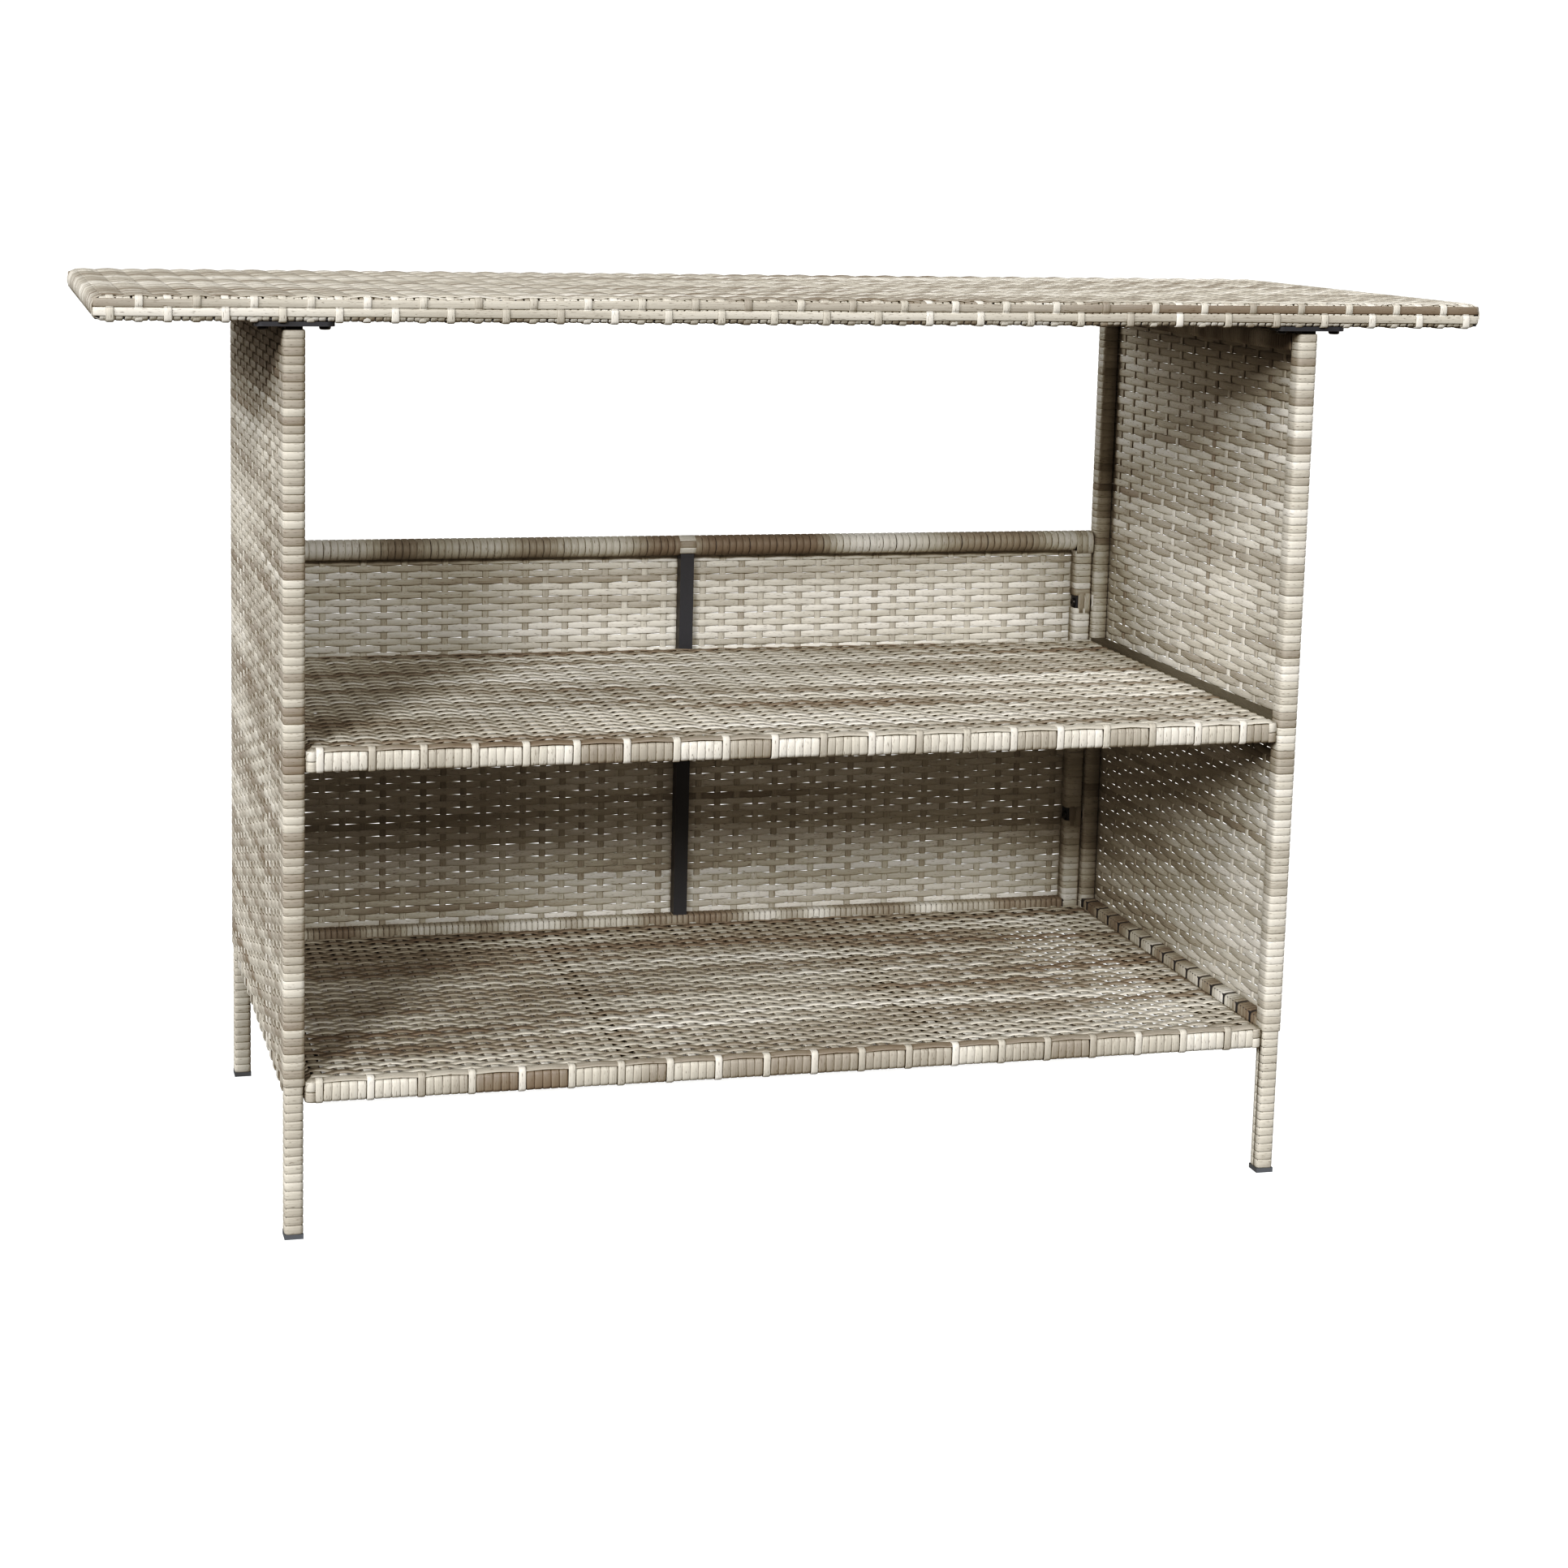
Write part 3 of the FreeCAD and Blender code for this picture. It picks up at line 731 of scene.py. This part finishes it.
for side in (-1, 1):
    steps = waved(side_stakes, side, panel_relief, panel_pinch)
    wave = [Vector((panel_middle + lift, y, 0.0)) for y, lift, _ in steps]
    full = [1.0] * len(leg_band)
    widths = full + [step[2] for step in steps] + full
    side_weavers.append(sweep(leg_band + wave + rear_band, ALONG_Z, side_weaver_width, widths))
row_step = (panel_high.z - panel_low.z) / side_row_count
side_rows = [panel_low.z + row_step * (index + 0.5) for index in range(side_row_count)]
sides = (("right", as_is, 23), ("left", half_turn, 29))
# Painted light and shade: the same strands are toned lighter on the right side and darker on the left.
side_tones_with_painted_light = {"right": 0.61, "left": 0.44}
for side_name, turn, seed in sides:
    weave = new_weave()
    for row, z in enumerate(side_rows):
        place = Matrix.Translation((0.0, 0.0, z)) @ turn
        tone = side_tones_with_painted_light[side_name]
        lay(weave, side_weavers[row % 2], place, row, seed, sway=side_sway, tone=tone, contrast=0.52)
    replaced = [side_name + end for end in ("_woven_panel", "_front_leg_wrap", "_rear_leg_wrap")]
    finish_weave(side_name + "_side_weave", weave, replaced)

# %% [markdown]
# The stakes of a side panel are upright strips. Each hooks over the top rail and under the bottom rail.

# %% Stakes of the side panels
panel_stake_width = 0.0074
panel_press = 0.0004
hook_end = leg_low.x + 0.004
rail_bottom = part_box("right_bottom_rail_wrap")[0].z - 0.0004
rail_top = panel_high.z + 0.0008
under_rail = rounded([
    Vector((hook_end, 0.0, rail_bottom)),
    Vector((panel_middle, 0.0, rail_bottom)),
    Vector((panel_middle, 0.0, panel_low.z)),
], 0.004)
over_rail = rounded([
    Vector((panel_middle, 0.0, panel_high.z - 0.008)),
    Vector((panel_middle, 0.0, rail_top)),
    Vector((hook_end, 0.0, rail_top)),
], 0.004)
side_stake_kinds = []
for parity in (1.0, -1.0):
    rows = pressed(side_rows, parity, panel_press)[1:-2]
    upright = [Vector((panel_middle + lift, 0.0, z)) for z, lift in rows]
    side_stake_kinds.append(sweep(under_rail + upright + over_rail, ALONG_Y, panel_stake_width))
for side_name, turn, seed in sides:
    weave = new_weave()
    for index, y in enumerate(side_stakes):
        place = turn @ Matrix.Translation((0.0, y, 0.0))
        lay(weave, side_stake_kinds[index % 2], place, index, seed + 1, tone=0.56, contrast=0.5)
    finish_weave(side_name + "_side_stakes", weave, (side_name + "_woven_panel",))

# %% [markdown]
# Below the panel a leg is wound with its own strand, turn on turn, down to the foot. A turn is a
# loop cut on the leg's inner side, where its ends almost touch. The length keeps counting from turn to
# turn, so the tone drifts slowly along the leg, as on one long strand.

# %% Windings of the lower legs
def loop(low, high, radius):
    """Points of a turn round a rectangle in the XY plane, cut in the middle of its low X side."""
    middle = (low.y + high.y) / 2.0
    return rounded([
        Vector((low.x, middle, 0.0)),
        Vector((low.x, low.y, 0.0)),
        Vector((high.x, low.y, 0.0)),
        Vector((high.x, high.y, 0.0)),
        Vector((low.x, high.y, 0.0)),
        Vector((low.x, middle + 0.0004, 0.0)),
    ], radius)


lower_leg_turns = 17
lower_turn_width = 0.0089
lower_turn_lean = 1.8
turn_length = 0.07
foot_top = 0.005
lower_low, lower_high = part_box("right_lower_leg_wraps")
reach = (lower_high.x - lower_low.x) / 2.0
leg_corner = Vector((reach - half, reach - half))
lower_turn = sweep(loop(-leg_corner, leg_corner, 0.0030), ALONG_Z, lower_turn_width)
leg_x = (lower_low.x + lower_high.x) / 2.0
leg_y = lower_high.y - reach
turn_step = (lower_high.z - foot_top) / lower_leg_turns
for side_name, turn, seed in sides:
    weave = new_weave()
    for number, y in enumerate((-leg_y, leg_y)):
        for index in range(lower_leg_turns):
            z = foot_top + turn_step * (index + 0.5)
            degrees = random.uniform(-lower_turn_lean, lower_turn_lean)
            lean = Matrix.Rotation(math.radians(degrees), 4, "Y")
            place = turn @ Matrix.Translation((leg_x, y, z)) @ lean
            start = index * turn_length
            lay(weave, lower_turn, place, 9 * number, seed + 2, start=start, tone=0.58, contrast=0.25)
    finish_weave(side_name + "_lower_leg_windings", weave, (side_name + "_lower_leg_wraps",))

# %% [markdown]
# The rails of a side are wound too. The top rail's turns are narrow and nearly upright. The bottom
# rail's turns are wider, lean well over, and leave a gap where each stake hooks under the rail. A kind
# of winding is its node's ending, pitch, strand width, lean in degrees, and the turns left out.

# %% Windings of the side rails
turns_per_stake = 5
rail_kinds = (
    ("_top_rail_wrap", side_step / 6.0, 0.0052, 2.0, ()),
    ("_bottom_rail_wrap", side_step / turns_per_stake, 0.0067, 17.0, (turns_per_stake // 2,)),
)
for side_name, turn, seed in sides:
    weave = new_weave()
    for ending, pitch, width, lean_degrees, left_out in rail_kinds:
        low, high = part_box("right" + ending)
        line = loop(Vector((low.z + half, low.x + half)), Vector((high.z - half, high.x - half)), 0.003)
        rail_turn = sweep([Vector((point.y, 0.0, point.x)) for point in line], ALONG_Y, width)
        centre = Vector(((low.x + high.x) / 2.0, 0.0, (low.z + high.z) / 2.0))
        for index in range(int((high.y - low.y) / pitch)):
            if index % turns_per_stake in left_out:
                continue
            y = low.y + pitch * (index + 0.5)
            lean = leaning(centre, lean_degrees + random.uniform(-2.0, 2.0), "Z")
            place = turn @ Matrix.Translation((0.0, y, 0.0)) @ lean
            lay(weave, rail_turn, place, 0, seed + 3, start=index * turn_length, tone=0.45)
    replaced = (side_name + "_top_rail_wrap", side_name + "_bottom_rail_wrap")
    finish_weave(side_name + "_rail_windings", weave, replaced)

# %% [markdown]
# The back is woven like a side panel: each weaver goes round a stile, crosses behind it and runs to
# the other stile. At the heights of the back's bolts the stile's inner face is left bare for the bolt
# head, so the rows there only pass behind the stiles.

# %% Weave of the back
back_stake_count = 41
back_row_count = 58
back_weaver_width = 0.0077
back_sway = ALONG_Z * 0.0006
back_tone = 0.77
back_low, back_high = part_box("back_woven_panel")
stile_low, stile_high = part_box("back_stile_wraps")
stile_inner = back_high.x
back_middle = back_high.y - panel_relief - half + panel_proud
back_step = (back_high.x - back_low.x) / back_stake_count
back_stakes = [back_low.x + back_step * (index + 0.5) for index in range(back_stake_count)]
stile_band = rounded([
    Vector((stile_inner + half, stile_high.y - 0.004, 0.0)),
    Vector((stile_inner + half, stile_low.y + half, 0.0)),
    Vector((stile_high.x - half, stile_low.y + half, 0.0)),
    Vector((stile_high.x - half, stile_high.y - half, 0.0)),
    Vector((stile_inner + 0.001, stile_high.y - half, 0.0)),
], 0.0034)
behind_stile = [Vector((x, stile_high.y - half, 0.0)) for x in (stile_high.x - 0.002, stile_inner)]
back_weavers = []
for ends in (stile_band, behind_stile):
    left = [Vector((-point.x, point.y, 0.0)) for point in ends]
    full = [1.0] * len(ends)
    for side in (-1, 1):
        steps = waved(back_stakes, side, panel_relief, panel_pinch)
        wave = [Vector((x, back_middle + lift, 0.0)) for x, lift, _ in steps]
        widths = full + [step[2] for step in steps] + full
        back_weavers.append(sweep(left + wave + ends[::-1], ALONG_Z, back_weaver_width, widths))
bolt_heights = (0.270, 0.532)
bolt_window = 0.0075
row_step = (stile_high.z - stile_low.z) / back_row_count
back_rows = [stile_low.z + row_step * (index + 0.5) for index in range(back_row_count)]
weave = new_weave()
for row, z in enumerate(back_rows):
    at_bolt = any(abs(z - height) < bolt_window for height in bolt_heights)
    kind = back_weavers[row % 2 + 2 * at_bolt]
    lay(weave, kind, Matrix.Translation((0.0, 0.0, z)), row, seed=37, sway=back_sway, tone=back_tone)
finish_weave("back_weave", weave, ("back_woven_panel", "back_stile_wraps"))

# %% [markdown]
# The back's stakes stand upright and end at the top rail. Where the rows leave a stile bare for its
# bolt, short upright strands cover it: two on the stile's front, and two on the rear leg beside it.

# %% Stakes of the back and covers at its bolts
rail_low, rail_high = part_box("back_top_rail_wrap")
weave = new_weave()
back_stake_kinds = []
for parity in (1.0, -1.0):
    upright = [Vector((0.0, back_middle + lift, z)) for z, lift in pressed(back_rows, parity, panel_press)]
    upright.append(Vector((0.0, back_middle, rail_low.z + 0.006)))
    back_stake_kinds.append(sweep(upright, ALONG_X, panel_stake_width))
for index, x in enumerate(back_stakes):
    place = Matrix.Translation((x, 0.0, 0.0))
    lay(weave, back_stake_kinds[index % 2], place, index, seed=38, tone=0.52, contrast=0.35)
patch_heights = (-0.012, -0.004, 0.004, 0.012)
stile_patch_places = (stile_inner + 0.0085, stile_inner + 0.0162)
leg_patch_places = (0.2515, 0.2590)
patch_tone = 0.6
stile_patch = sweep([Vector((0.0, stile_low.y + half, z)) for z in patch_heights], ALONG_X, 0.0076)
leg_patch = sweep([Vector((leg_low.x + 0.0002, 0.0, 0.8 * z)) for z in patch_heights], ALONG_Y, 0.0070)
for height in bolt_heights:
    for number, x in enumerate(stile_patch_places):
        for sign in (-1.0, 1.0):
            place = Matrix.Translation((sign * x, 0.0, height))
            lay(weave, stile_patch, place, 5 * number + sign, seed=39, tone=patch_tone)
    for number, y in enumerate(leg_patch_places):
        for side, turn in ((1.0, as_is), (-1.0, half_turn)):
            place = turn @ Matrix.Translation((0.0, side * y, height))
            lay(weave, leg_patch, place, 5 * number + side, seed=40, tone=patch_tone)
finish_weave("back_stakes", weave, ("back_woven_panel",))

# %% [markdown]
# The back's top rail is a round tube, so its turns are rings. The winding stops at the post and at the
# stiles, where short strands cover the welds: some lie along the rail over the post, and three run
# down over each stile.

# %% Winding of the back's top rail
rail_y = (rail_low.y + rail_high.y) / 2.0
rail_z = (rail_low.z + rail_high.z) / 2.0
rail_radius = (rail_high.z - rail_low.z) / 2.0 - half


def on_rail(degrees, x=0.0):
    """A point on the round rail. Zero is at the front and ninety degrees at the top."""
    angle = math.radians(degrees)
    return Vector((x, rail_y - rail_radius * math.cos(angle), rail_z + rail_radius * math.sin(angle)))


ring_turn = sweep([on_rail(degrees) for degrees in range(-120, 241, 24)], ALONG_X, 0.0080)
ring_count = 58
ring_length = 0.04
beside_post = 0.0125
beside_stile = stile_inner - 0.004
cover_width = 0.0071
covers_per_stile = 3
weave = new_weave()
for index, x in enumerate(spread(beside_post, beside_stile, ring_count)):
    for number, sign in enumerate((-1.0, 1.0)):
        lean = leaning(Vector((0.0, rail_y, rail_z)), random.uniform(2.0, 6.0), "Z")
        place = Matrix.Translation((sign * x, 0.0, 0.0)) @ lean
        start = index * ring_length
        lay(weave, ring_turn, place, 20 * number, seed=41, start=start, tone=0.5, contrast=1.0)
for degrees in (-25, 14, 53, 92):
    angle = math.radians(degrees)
    across = Vector((0.0, math.sin(angle), math.cos(angle)))
    patch = sweep([on_rail(degrees, x) for x in (-0.0095, -0.004, 0.004, 0.0095)], across, 0.0079)
    lay(weave, patch, as_is, degrees, seed=42, tone=patch_tone)
cover_line = [on_rail(degrees) for degrees in (150, 120, 90, 60, 30, 0)]
cover_line.append(Vector((0.0, rail_y - rail_radius, stile_high.z - 0.002)))
cover_strand = sweep(cover_line, ALONG_X, cover_width)
for sign in (-1.0, 1.0):
    for index in range(covers_per_stile):
        x = sign * (stile_inner + 0.0035 + cover_width * index)
        lay(weave, cover_strand, Matrix.Translation((x, 0.0, 0.0)), 3 * index + sign, seed=43, tone=0.5)
finish_weave("back_top_rail_windings", weave, ("back_top_rail_wrap",))

# %% [markdown]
# The back's bottom rail is a square tube, wound along its whole length. Its turns stand upright, side by
# side, and are cut underneath.

# %% Winding of the back's bottom rail
base_turn_count = 143
base_turn_length = 0.068
base_inset = 0.0035
weave = new_weave()
base_low, base_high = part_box("back_bottom_rail_wrap")
base_corners = [Vector((corner.z, corner.y)) for corner in (base_low, base_high)]
line = loop(base_corners[0] + Vector((half, half)), base_corners[1] - Vector((half, half)), 0.003)
base_turn = sweep([Vector((0.0, point.y, point.x)) for point in line], ALONG_X, 0.0064)
for index, x in enumerate(spread(base_low.x + base_inset, base_high.x - base_inset, base_turn_count)):
    start = index * base_turn_length
    lay(weave, base_turn, Matrix.Translation((x, 0.0, 0.0)), 0, seed=44, start=start, tone=0.45)
finish_weave("back_bottom_rail_windings", weave, ("back_bottom_rail_wrap",))

# %% [markdown]
# The studio is a wide pale floor under a white sky of the same brightness, so no horizon shows. A white
# floor and sky would throw so much light into the bays that they lost their depth. So the floor is kept
# out of bounced light, and the sky is white only where it is seen, and dim where it lights the table.

# %% Floor and sky
floor_shape = bmesh.new()
bmesh.ops.create_circle(floor_shape, cap_ends=True, radius=40.0, segments=96)
floor_mesh = bpy.data.meshes.new("studio_floor")
floor_shape.to_mesh(floor_mesh)
floor_shape.free()
floor_material, tree = new_material("pale_studio_floor")
paint = add_node(tree, "ShaderNodeBsdfPrincipled", {"Base Color": tint("#FDFDFC"), "Roughness": 0.9})
add_node(tree, "ShaderNodeOutputMaterial", {"Surface": paint.outputs[0]})
floor_mesh.materials.append(floor_material)
floor = bpy.data.objects.new("studio_floor", floor_mesh)
bpy.context.scene.collection.objects.link(floor)
floor.visible_diffuse = False
floor.visible_glossy = False

sky = bpy.data.worlds.new("white_sky")
sky.use_nodes = True
tree = sky.node_tree
tree.nodes.clear()
rays = add_node(tree, "ShaderNodeLightPath")
sky_colour = add_node(tree, "ShaderNodeMix", {
    "Factor": rays.outputs["Is Camera Ray"],
    "A": (0.045, 0.036, 0.028, 1.0),
    "B": (1.0, 1.0, 1.0, 1.0),
}, data_type="RGBA")
dome = add_node(tree, "ShaderNodeBackground", {"Color": sky_colour.outputs["Result"]})
add_node(tree, "ShaderNodeOutputWorld", {"Surface": dome.outputs[0]})
bpy.context.scene.world = sky
print("floor and sky:", floor.name, sky.name)

# %% [markdown]
# Five soft suns stand for the lamps. Three low in front, from the right round to the left, reach in under
# the top and the middle shelf, whose shade falls on the upper part of each bay. One behind shines in
# above the back, and one lights the right side. The floor has a lamp of its own, nearly behind the
# camera and shaded only by the lower shelf. So the shelf hides its own shadow from the camera, and the
# openings in its weave look dark. Light linking makes that possible.

# %% Lamps
def light_group(name, pieces):
    """A collection of pieces that a light is linked to."""
    group = bpy.data.collections.new(name)
    for piece in pieces:
        group.objects.link(piece)
    return group


floor_only = light_group("floor_only", [floor])
all_but_floor = light_group("all_but_floor", [floor])
all_but_floor.collection_objects[0].light_linking.link_state = "EXCLUDE"
shelf_pieces = [bpy.data.objects["lower_shelf_" + kind] for kind in ("weave", "stakes", "windings")]
lower_shelf_only = light_group("lower_shelf_only", shelf_pieces)


def soft_sun(name, towards_left, height, strength, disc, lit=all_but_floor, shading=None):
    """A sun with a wide disc. All angles are in degrees, and zero to the left is straight in front."""
    data = bpy.data.lights.new(name, "SUN")
    data.energy = strength
    data.angle = math.radians(disc)
    light = bpy.data.objects.new(name, data)
    light.rotation_euler = (math.radians(90.0 - height), 0.0, math.radians(-towards_left))
    light.light_linking.receiver_collection = lit
    light.light_linking.blocker_collection = shading
    bpy.context.scene.collection.objects.link(light)


soft_sun("front_light", towards_left=-6.0, height=25.0, strength=1.9, disc=13.0)
soft_sun("left_front_light", towards_left=31.0, height=25.0, strength=2.7, disc=14.0)
soft_sun("left_light", towards_left=64.0, height=26.0, strength=1.9, disc=15.0)
soft_sun("rear_left_light", towards_left=125.0, height=15.0, strength=2.0, disc=40.0)
soft_sun("right_light", towards_left=262.0, height=18.0, strength=1.6, disc=50.0)
soft_sun(
    "floor_light", towards_left=8.0, height=17.2, strength=11.5, disc=6.0,
    lit=floor_only, shading=lower_shelf_only,
)
print("lamps placed:", len(bpy.data.lights))

# %% [markdown]
# In the photograph the shade is deep and brown. A gamma below one deepens the middle tones, a little
# exposure keeps the light ones, and a curve for each of red, green and blue turns the shade warm.

# %% Tones of the picture
view = bpy.context.scene.view_settings
view.view_transform = "Standard"
view.gamma = 0.82
view.exposure = 0.16
view.use_curve_mapping = True
dark_point = 0.09
dark_levels = (0.075, 0.067, 0.058)
middle_point = 0.3
middle_level = 0.298
for channel, dark_level in enumerate(dark_levels):
    curve = view.curve_mapping.curves[channel]
    curve.points.new(dark_point, dark_level)
    curve.points.new(middle_point, middle_level)
view.curve_mapping.update()
print("view:", view.view_transform, "gamma", round(view.gamma, 2))
